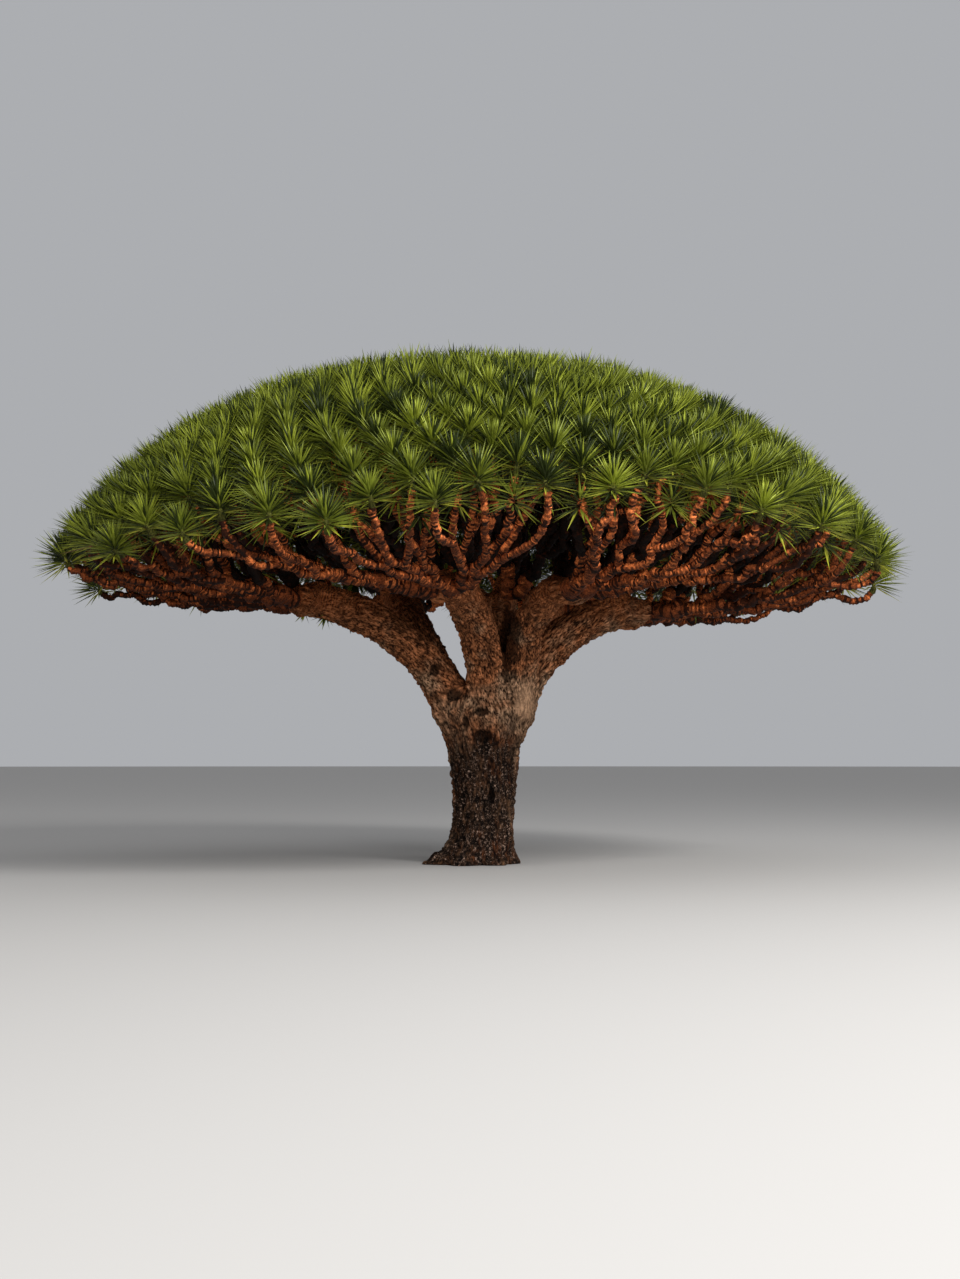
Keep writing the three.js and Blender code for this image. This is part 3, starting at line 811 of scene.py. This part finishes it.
class GrainLine:
    """The line that a trunk's or bough's fibres follow, with the radius round it."""

    def __init__(self, points, radii):
        self.points = points
        self.radii = radii
        _, self.side, self.front = path_frames(points)
        self.length = np.concatenate([[0], np.cumsum(step_lengths(points))])

    def near(self, vertices):
        margin = NEAR_RADII * self.radii.max()
        low, high = self.points.min(axis=0) - margin, self.points.max(axis=0) + margin
        return np.flatnonzero(((vertices > low) & (vertices < high)).all(axis=1))

    def coordinates(self, vertices):
        """Place round a bar of mean thickness and along its fibres, and how many radii away."""
        squares = (self.points**2).sum(axis=1) - 2 * vertices @ self.points.T
        nearest = squares.argmin(axis=1)
        offset = vertices - self.points[nearest]
        u = (offset * self.side[nearest]).sum(axis=1)
        v = (offset * self.front[nearest]).sum(axis=1)
        tangent = np.cross(self.side[nearest], self.front[nearest])
        along = self.length[nearest] + (offset * tangent).sum(axis=1)
        away = np.hypot(u, v)
        mean = self.radii.mean()
        angle = np.arctan2(v, u) + FIBRE_TWIST * along
        reach = mean * away / np.maximum(away, CORE_SHARE * mean)
        place = np.column_stack([reach * np.cos(angle), reach * np.sin(angle), along])
        return place, away / self.radii[nearest]


def grain_lines(bars):
    z = np.linspace(0, TRUNK_STATIONS[-1, 0], LINE_POINTS)
    x = np.interp(z, TRUNK_STATIONS[:, 0], TRUNK_STATIONS[:, 1])
    radii = np.interp(z, TRUNK_STATIONS[:, 0], TRUNK_STATIONS[:, 2])
    trunk = GrainLine(np.column_stack([x, np.zeros_like(x), z]), radii)
    return [trunk] + [GrainLine(*bar) for bar in bars]


# Knots and scars on the front of the trunk and left bough: middle, half width and half height
KNOTS = [
    ((-0.58, 2.98), (0.08, 0.12)),
    ((-0.28, 2.60), (0.13, 0.12)),
    ((0.14, 2.33), (0.15, 0.07)),
    ((-0.09, 2.16), (0.06, 0.13)),
    ((0.17, 1.96), (0.19, 0.11)),
    ((0.29, 1.05), (0.07, 0.16)),
]
KNOT_RIM = 0.035
KNOT_HOLE = 0.075
HOLE_REACH, RIM_REACH, RIM_WIDTH = 0.7, 1.1, 0.35
# Painted shade: how much darker in colour the knot holes are
KNOT_PAINTED_SHADE = 1.6

# A bare patch on the right, and a painted shadow in the deep slit between two boughs, given like a knot
BARE_PATCH = ((0.83, 2.50), (0.14, 0.30))
BARE_SMOOTHED = 0.7
SHADED_SLIT = ((0.57, 3.45), (0.12, 0.55))
SLIT_PAINTED_SHADE = 1.5
FRONT = (0.1, -0.15)

# Relief: how often each kind repeats across and along the fibres, its seed and its layers
PLATES = ((20, 20, 8), 11, 2)
FLAKES = ((40, 40, 21), 23, 2)
LUMPS = ((3.4, 3.4, 2.0), 37, 2)
FOOT_LUMPS = (6, 71, 3)
PLATE_RISE, PLATE_LEVEL = 3.2, 0.8
PLATE_SHARE, FLAKE_SHARE = 0.7, 0.6
LINE_SHIFT = np.array([7.0, 3.0, 0])
BLEND, BLEND_INSIDE = 9, 0.6
SMOOTHED, SMOOTHED_HEIGHTS = 0.3, (4.2, 3.2)
FOOT_LUMP_DEPTH, FOOT_HEIGHTS = 0.05, (0.5, 0.05)


def ellipse_reach(vertices, middle, halves):
    across, up = vertices[:, 0] - middle[0], vertices[:, 2] - middle[1]
    return np.hypot(across / halves[0], up / halves[1])


def patterned(place, scale, seed, layers):
    return layered_noise(place * scale, seed, layers)


def bark_relief(vertices, bars):
    """How far each vertex moves out, how open the bark is there, which also carries painted shade for
    furrows, knot holes and the slit, and the fibres' coordinates.
    """
    settings = bpy.context.scene.dragon_tree_bark
    total, openness_and_shade_total = np.zeros((2, len(vertices)))
    weights = np.full(len(vertices), TINY)
    best = np.full(len(vertices), np.inf)
    grain = vertices.copy()
    for k, line in enumerate(grain_lines(bars)):
        near = line.near(vertices)
        place, away = line.coordinates(vertices[near])
        place = place + k * LINE_SHIFT
        plates = PLATE_RISE * np.abs(patterned(place, *PLATES)) - PLATE_LEVEL
        flakes = patterned(place, *FLAKES)
        lumps = patterned(place, *LUMPS)
        opened = np.clip(PLATE_SHARE * plates + FLAKE_SHARE * flakes, -1, 1)
        weight = np.exp(-BLEND * np.maximum(away - 1, -BLEND_INSIDE))
        total[near] += weight * (settings.ridge_depth * opened + settings.lump_depth * lumps)
        openness_and_shade_total[near] += weight * opened
        weights[near] += weight
        nearer = away < best[near]
        grain[near[nearer]] = place[nearer]
        best[near] = np.minimum(best[near], away)
    relief, opened = total / weights, openness_and_shade_total / weights
    relief *= 1 - SMOOTHED + SMOOTHED * smooth_step(vertices[:, 2], *SMOOTHED_HEIGHTS)
    foot = smooth_step(vertices[:, 2], *FOOT_HEIGHTS)
    relief += FOOT_LUMP_DEPTH * foot * patterned(vertices, *FOOT_LUMPS)
    front = smooth_step(vertices[:, 1], *FRONT)
    for middle, halves in KNOTS:
        reach = ellipse_reach(vertices, middle, halves)
        hole = front * np.exp(-((reach / HOLE_REACH) ** 4))
        rim = front * KNOT_RIM * np.exp(-(((reach - RIM_REACH) / RIM_WIDTH) ** 2))
        relief += rim - KNOT_HOLE * hole
        # Painted shade: knot holes are darker in colour as well as sunk
        opened -= KNOT_PAINTED_SHADE * hole
    # Painted shadow: the bark's colour is darkened in the slit between two boughs
    opened -= SLIT_PAINTED_SHADE * np.exp(-(ellipse_reach(vertices, *SHADED_SLIT) ** 4))
    bare = front * np.exp(-(ellipse_reach(vertices, *BARE_PATCH) ** 4))
    return relief * (1 - BARE_SMOOTHED * bare), opened, bare, grain


# What the bark's look follows: the heights where each begins and is full, and its strength
DARK_HEIGHTS, DARK_SHARE, DARK_BY_SIDE = (2.70, 1.25), 0.62, 0.17
BLACK_FOOT = (0.4, 0.1)
RED_HEIGHTS, RED_SHARE = (2.4, 3.4), 0.16
LESS_RED, LESS_RED_FROM = 0.05, 0.4
RINGED_HEIGHTS = (3.7, 4.3)
CUT_HEIGHT = 0.012


def bark_layers(vertices, opened, bare, grain):
    """The values at each vertex that the bark's look reads."""
    x, y, z = vertices.T
    dark = DARK_SHARE - DARK_BY_SIDE * np.cos(2 * np.arctan2(y, x - TRUNK_MIDDLE))
    return {
        "grain": grain,
        # Openness, which also carries the painted shade of furrows, knot holes and the slit
        "opened": 0.5 + 0.5 * opened,
        "bare": bare,
        "dark": np.maximum(smooth_step(z, *DARK_HEIGHTS) * dark, smooth_step(z, *BLACK_FOOT)),
        "reddish": RED_SHARE * smooth_step(z, *RED_HEIGHTS) - LESS_RED * (x > LESS_RED_FROM),
        "ringed": smooth_step(z, *RINGED_HEIGHTS),
    }


# Noise in the looks: scale, detail and roughness
FIBRES = (44, 4, 0.6)
RED_PATCHES = (1.7, 2, 0.6)
LICHEN_SPECKS = (27, 6, 0.85)
WORN_PATCHES = (9, 4, 0.7)
DARK_BLOTCHES = (5.5, 4, 0.7)
BARK_FLECKS = (38, 3, 0.6)
LEAF_MOTTLES = (7, 3, 0.6)
FIBRE_STRETCH = (1, 1, 0.42)
REDDER = (0.95, 0.60, 0.42)
WORN = (1, 0.85, 0.75)
RINGS_TO_SCALE = 0.314
RING_DISTORTION = 13.0
RING_SHARE = 0.55
TRUNK_BUMP, TWIG_BUMP = 0.02, 0.008

# Shares of a colour: tan midway and bare, the lichen's ground, worn plates, grooves, and the darkest
# painted shade in furrows
MIDWAY, BARE, GROUND, WORN_SHARE, GROOVE, PAINTED_FURROW_SHADE = 0.5, 0.7, 1.2, 0.17, 0.35, 0.16
FLECK_SHADES = (0.38, 1.5)
MOTTLE_SHADES = (0.78, 1.22)

# Painted shade on the bark's undersides: where it starts to darken as it faces down, where it is
# darkest, and how dark
UNDERSIDE_SHADE_FROM, UNDERSIDE_SHADE_FULL = 0.1, -0.8
UNDERSIDE_SHADE_TRUNK = 0.65
UNDERSIDE_SHADE_TWIGS = 0.23


def darker(colour, share):
    return tuple(share * channel for channel in colour)


class Look:
    """A material while it is put together from nodes."""

    def __init__(self, name, roughness, gloss=0.5):
        self.material = bpy.data.materials.new(name)
        self.material.use_nodes = True
        self.tree = self.material.node_tree
        self.surface = self.tree.nodes["Principled BSDF"]
        self.feed(self.surface.inputs["Roughness"], roughness)
        self.feed(self.surface.inputs["Specular IOR Level"], gloss)

    def feed(self, socket, value):
        """Links another node's output to a socket, or sets a number or colour on it."""
        if isinstance(value, bpy.types.NodeSocket):
            self.tree.links.new(value, socket)
        elif socket.type == "RGBA":
            socket.default_value = (*value, 1)
        else:
            socket.default_value = value

    def node(self, kind, *values, **inputs):
        """A node, its inputs fed in order or each under its name with _ for a space."""
        node = self.tree.nodes.new(kind)
        for socket, value in zip(node.inputs, values):
            self.feed(socket, value)
        for name, value in inputs.items():
            self.feed(node.inputs[name.replace("_", " ")], value)
        return node

    def place(self):
        return self.node("ShaderNodeTexCoord").outputs["Object"]

    def attribute(self, name, output="Fac"):
        node = self.node("ShaderNodeAttribute")
        node.attribute_name = name
        return node.outputs[output]

    def noise(self, vector, scale, detail, roughness):
        node = self.node(
            "ShaderNodeTexNoise", Vector=vector, Scale=scale, Detail=detail, Roughness=roughness
        )
        return node.outputs["Fac"]

    def ramp(self, source, *stops):
        """A colour ramp fed by a value: stops are places and colours."""
        node = self.node("ShaderNodeValToRGB", Fac=source)
        elements = node.color_ramp.elements
        while len(elements) < len(stops):
            elements.new(0.5)
        for element, (place, colour) in zip(elements, stops):
            element.position = place
            element.color = (*colour, 1)
        return node.outputs["Color"]

    def grey(self, source, low, high, darkest=0.0):
        """Grey that rises from the darkest at low to white at high."""
        return self.ramp(source, (low, (darkest,) * 3), (high, (1, 1, 1)))

    def mixed(self, share, first, second, blend="MIX"):
        node = self.node("ShaderNodeMix")
        node.data_type = "RGBA"
        node.blend_type = blend
        for socket, value in ((0, share), (6, first), (7, second)):
            self.feed(node.inputs[socket], value)
        return node.outputs[2]

    def times(self, first, second):
        return self.mixed(1.0, first, second, "MULTIPLY")

    def added(self, first, second):
        return self.node("ShaderNodeMath", first, second).outputs["Value"]

    def painted_underside_shade(self, colour, darkest):
        """The colour with painted shade, darker where bark faces down."""
        normal = self.node("ShaderNodeNewGeometry").outputs["Normal"]
        up = self.node("ShaderNodeSeparateXYZ", Vector=normal).outputs["Z"]
        facing = self.node("ShaderNodeMapRange", Value=up, From_Min=UNDERSIDE_SHADE_FULL, From_Max=UNDERSIDE_SHADE_FROM)
        return self.times(colour, self.grey(facing.outputs["Result"], 0, 1, darkest))

    def finished(self, colour, height=None, distance=0.0):
        """The material in its colour, with a bump where a height is given."""
        self.feed(self.surface.inputs["Base Color"], colour)
        if height:
            bump = self.node("ShaderNodeBump", Height=height, Distance=distance, Strength=1.0)
            self.feed(self.surface.inputs["Normal"], bump.outputs["Normal"])
        return self.material


def trunk_bark():
    """Fibrous bark: tan plates and dark furrows above, near black with pale lichen at the foot. Painted
    shade darkens the furrows, knot holes, the slit between boughs and the undersides.
    """
    tones = bpy.context.scene.dragon_tree_bark
    look = Look("trunk_bark", 0.92, 0.08)
    grain = look.attribute("grain", "Vector")
    place = look.place()
    along = look.node("ShaderNodeMapping", Vector=grain, Scale=FIBRE_STRETCH).outputs["Vector"]
    fibre = look.noise(along, *FIBRES)
    mid_tan = darker(tones.trunk_tan, MIDWAY)
    fibrous = look.ramp(fibre, (0.38, tones.furrow_brown), (0.50, mid_tan), (0.64, tones.trunk_tan))
    # Painted shade: darker where the relief sinks, in furrows, knot holes and the slit
    painted_furrow_shade = look.grey(look.attribute("opened"), 0.22, 0.62, PAINTED_FURROW_SHADE)
    upper = look.times(fibrous, painted_furrow_shade)
    redness = look.added(look.noise(place, *RED_PATCHES), look.attribute("reddish"))
    reddened = look.times(upper, REDDER)
    upper = look.mixed(look.grey(redness, 0.42, 0.62), upper, reddened)
    bare_tan = look.mixed(MIDWAY, darker(tones.trunk_tan, BARE), fibrous)
    upper = look.mixed(look.attribute("bare"), upper, bare_tan)
    speck = look.noise(place, *LICHEN_SPECKS)
    ground = darker(tones.furrow_brown, GROUND)
    lower = look.ramp(speck, (0.49, tones.foot_brown), (0.55, ground), (0.61, tones.lichen_grey))
    worn = look.grey(look.noise(along, *WORN_PATCHES), 0.46, 0.62)
    plates = look.times(upper, darker(WORN, WORN_SHARE))
    lower = look.mixed(worn, look.times(lower, painted_furrow_shade), plates)
    dark = look.added(look.noise(along, *DARK_BLOTCHES), look.attribute("dark"))
    trunk = look.mixed(look.grey(dark, 0.60, 1.0), upper, lower)
    rings = look.node(
        "ShaderNodeTexWave", Vector=grain, Scale=RINGS_TO_SCALE / tones.ring_gap,
        Distortion=RING_DISTORTION, Detail=2, Detail_Scale=1.2,
    )
    rings.bands_direction = "Z"
    groove, red, orange = darker(tones.rib_red, GROOVE), tones.rib_red, tones.rib_orange
    ribs = look.ramp(rings.outputs["Fac"], (0.15, groove), (0.50, red), (0.92, orange))
    ribs = look.mixed(RING_SHARE, ribs, reddened)
    colour = look.mixed(look.attribute("ringed"), trunk, ribs)
    # Painted shade: the colour is darker where the bark faces down
    return look.finished(look.painted_underside_shade(colour, UNDERSIDE_SHADE_TRUNK), fibre, TRUNK_BUMP)


def twig_bark(name):
    """Matte bark of one plain colour, a little lighter and darker in flecks, with painted shade where
    it faces down.
    """
    colour = getattr(bpy.context.scene.dragon_tree_bark, name)
    look = Look(name, 0.85, 0.2)
    fleck = look.noise(look.place(), *BARK_FLECKS)
    dark, light = (darker(colour, share) for share in FLECK_SHADES)
    flecked = look.ramp(fleck, (0.38, dark), (0.62, light))
    # Painted shade: the colour is darker where the bark faces down
    return look.finished(look.painted_underside_shade(flecked, UNDERSIDE_SHADE_TWIGS), fleck, TWIG_BUMP)


def leaf_skin(name):
    """Waxy leaf skin of one plain green, mottled a little."""
    colour = getattr(bpy.context.scene.dragon_tree_crown, name)
    look = Look(name, 0.55, 0.35)
    mottle = look.noise(look.place(), *LEAF_MOTTLES)
    dark, light = (darker(colour, share) for share in MOTTLE_SHADES)
    return look.finished(look.ramp(mottle, (0.35, dark), (0.65, light)))


# Operators
TWIG_SEED = 53
LEAF_SEED = 67


class DRAGON_TREE_OT_bark(bpy.types.Operator):
    """Grows the trunk and main boughs as one skin of bark with relief"""

    bl_idname = "dragon_tree.bark"
    bl_label = "Trunk and boughs"

    def execute(self, context):
        boughs = laid_out()
        bars = bark_bars(boughs)
        piece = bark_core(bars)
        mesh = remeshed(piece, context.scene.dragon_tree_bark.grain)
        vertices, normals = self.read(mesh, "co"), self.read(mesh, "normal")
        relief, opened, bare, grain = bark_relief(vertices, bars)
        moved = vertices + normals * relief[:, None]
        moved[:, 2] = np.maximum(moved[:, 2], 0)
        moved[vertices[:, 2] < CUT_HEIGHT, 2] = 0
        mesh.vertices.foreach_set("co", moved.astype(np.float32).ravel())
        for name, values in bark_layers(vertices, opened, bare, grain).items():
            is_vector = values.ndim == 2
            layer = mesh.attributes.new(name, "FLOAT_VECTOR" if is_vector else "FLOAT", "POINT")
            field = "vector" if is_vector else "value"
            layer.data.foreach_set(field, np.ascontiguousarray(values, np.float32).ravel())
        mesh.polygons.foreach_set("use_smooth", np.full(len(mesh.polygons), True))
        mesh.materials.clear()
        mesh.materials.append(trunk_bark())
        mesh.update()
        dressed(piece, ["trunk"] + [f"bough_{bough.name}" for bough in boughs])
        return {"FINISHED"}

    def read(self, mesh, field):
        values = np.empty(3 * len(mesh.vertices), np.float32)
        mesh.vertices.foreach_get(field, values)
        return values.reshape(-1, 3).astype(float)


class DRAGON_TREE_OT_twigs(bpy.types.Operator):
    """Grows the forking limbs and twigs from each bough's tip, joined by the bough that carries them"""

    bl_idname = "dragon_tree.twigs"
    bl_label = "Limbs and twigs"

    def execute(self, context):
        random = np.random.default_rng(TWIG_SEED)
        barks = [twig_bark(name) for name in BARKS]
        for bough in laid_out():
            parts = MeshParts()
            for mass in bough.masses:
                for twig in grown(mass):
                    if twig.level >= SMOOTH_LEVELS:
                        add_twig(parts, twig, random)
            piece = parts.made(f"twigs_{bough.name}", barks, True)
            dressed(piece, sum((mass.nodes for mass in bough.masses), []))
        return {"FINISHED"}


class DRAGON_TREE_OT_leaves(bpy.types.Operator):
    """Grows a rosette of sword-shaped leaves at the end of each shoot"""

    bl_idname = "dragon_tree.leaves"
    bl_label = "Leaves"

    def execute(self, context):
        settings = context.scene.dragon_tree_crown
        random = np.random.default_rng(LEAF_SEED)
        skins = [leaf_skin(name) for name in SKINS]
        boughs = laid_out()
        for bough in boughs:
            shoots = np.vstack([mass.shoots for mass in bough.masses])
            out = np.hypot(shoots[:, 0], shoots[:, 1]) / CROWN_RADIUS
            upright = UPRIGHT * (1 - RIM_LEAN * smooth_step(out, *RIM))[:, None] * UP
            axes = unit(np.array([crown_normal(shoot) for shoot in shoots]) + upright)
            axes = unit(axes + random.normal(0, AXIS_NOISE, axes.shape))
            parts = MeshParts()
            hearts = shoots + SHOOT_TIP * axes
            size = settings.leaf_length
            parts.add(*rosettes(hearts, axes, settings.leaves, size, LEAF_SPAN, GREENS, random))
            inner = out < INNER_SHARE
            axes = axes[inner]
            hearts = shoots[inner] - INNER_DEPTH * axes
            # Painted shade: inner rosettes take the darker inner greens
            parts.add(*rosettes(hearts, axes, INNER_LEAVES, size, INNER_SPAN, SHADED_INNER_GREENS, random))
            piece = parts.made(f"leaves_{bough.name}", skins, False)
            dressed(piece, [mass.nodes[1] for mass in bough.masses])
        parts = MeshParts()
        add_tufts(parts, boughs, random)
        tufts = parts.made("tufts", skins, False)
        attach(tufts, BODY)
        return {"FINISHED"}


# Stage: the floor, the view in the photo's pixels, and each light's share of power, size and place
FLOOR_RADIUS = 400
FLOOR_SIDES = 96
FLOOR_GAP = 0.002
FAR = 1000
LIGHTS = {"key": (1, 9, (18, -23, 20)), "front": (0.36, 10, (8, -32, 10))}
LIT_POINT = np.array([0, 0, 5.0])
PHOTO_WIDTH = 960
PHOTO_HEIGHT = 1279
FOCAL_PIXELS = 1677
HORIZON_ROW = 760
AXIS_COLUMN = 472.2
SENSOR = 36.0


class DRAGON_TREE_OT_stage(bpy.types.Operator):
    """Lays a plain floor, hangs soft lights and sets the camera where the tree was seen from"""

    bl_idname = "dragon_tree.stage"
    bl_label = "Stage"

    def execute(self, context):
        scene = context.scene
        settings = scene.dragon_tree_stage
        bpy.ops.mesh.primitive_circle_add(
            vertices=FLOOR_SIDES, radius=FLOOR_RADIUS, fill_type="NGON", location=(0, 0, -FLOOR_GAP)
        )
        floor = context.object
        floor.name = "floor"
        floor.data.materials.append(Look("floor", 0.9).finished(settings.floor_colour))
        world = bpy.data.worlds.new("soft light")
        world.use_nodes = True
        background = world.node_tree.nodes["Background"]
        background.inputs["Color"].default_value = (*settings.sky_colour, 1)
        background.inputs["Strength"].default_value = settings.sky_strength
        scene.world = world
        for name, (share, size, place) in LIGHTS.items():
            self.hang(name, share * settings.key_power, size, place, scene)
        self.set_camera(scene, settings)
        scene.view_settings.view_transform = "Standard"
        return {"FINISHED"}

    def hang(self, name, power, size, place, scene):
        light = bpy.data.lights.new(name, "AREA")
        light.energy = power
        light.size = size
        lamp = bpy.data.objects.new(name, light)
        lamp.location = place
        towards = LIT_POINT - np.array(place)
        pitch = math.atan2(math.hypot(towards[0], towards[1]), -towards[2])
        lamp.rotation_euler = (pitch, 0, math.atan2(-towards[0], towards[1]))
        scene.collection.objects.link(lamp)

    def set_camera(self, scene, settings):
        lens = bpy.data.cameras.new("camera")
        lens.sensor_width = SENSOR
        lens.lens = FOCAL_PIXELS / PHOTO_HEIGHT * SENSOR
        lens.clip_end = FAR
        camera = bpy.data.objects.new("camera", lens)
        pixel = settings.camera_distance / FOCAL_PIXELS
        across = (PHOTO_WIDTH / 2 - AXIS_COLUMN) * pixel
        camera.location = (across, -settings.camera_distance, settings.camera_height)
        tilt = math.atan((HORIZON_ROW - PHOTO_HEIGHT / 2) / FOCAL_PIXELS)
        camera.rotation_euler = (math.pi / 2 + tilt, 0, 0)
        scene.collection.objects.link(camera)
        scene.camera = camera


class DRAGON_TREE_PT_panel(bpy.types.Panel):
    """Lists the tree's pieces and their settings"""

    bl_idname = "DRAGON_TREE_PT_panel"
    bl_label = "Dragon tree"
    bl_space_type = "VIEW_3D"
    bl_region_type = "UI"
    bl_category = "Dragon tree"

    def draw(self, context):
        layout = self.layout
        for operator in OPERATORS:
            layout.operator(operator.bl_idname)
        for place, group in GROUPS.items():
            box = layout.box()
            for name in group.__annotations__:
                box.prop(getattr(context.scene, place), name)


GROUPS = {
    "dragon_tree_crown": CrownSettings,
    "dragon_tree_bark": BarkSettings,
    "dragon_tree_stage": StageSettings,
}
OPERATORS = (
    DRAGON_TREE_OT_bark,
    DRAGON_TREE_OT_twigs,
    DRAGON_TREE_OT_leaves,
    DRAGON_TREE_OT_stage,
)
CLASSES = (*GROUPS.values(), *OPERATORS, DRAGON_TREE_PT_panel)


def register():
    for each in CLASSES:
        bpy.utils.register_class(each)
    for place, group in GROUPS.items():
        setattr(bpy.types.Scene, place, PointerProperty(type=group))


def unregister():
    for place in GROUPS:
        delattr(bpy.types.Scene, place)
    for each in reversed(CLASSES):
        bpy.utils.unregister_class(each)


def main():
    register()
    bpy.ops.dragon_tree.bark()
    bpy.ops.dragon_tree.twigs()
    bpy.ops.dragon_tree.leaves()
    bpy.ops.dragon_tree.stage()


if __name__ == "__main__":
    main()
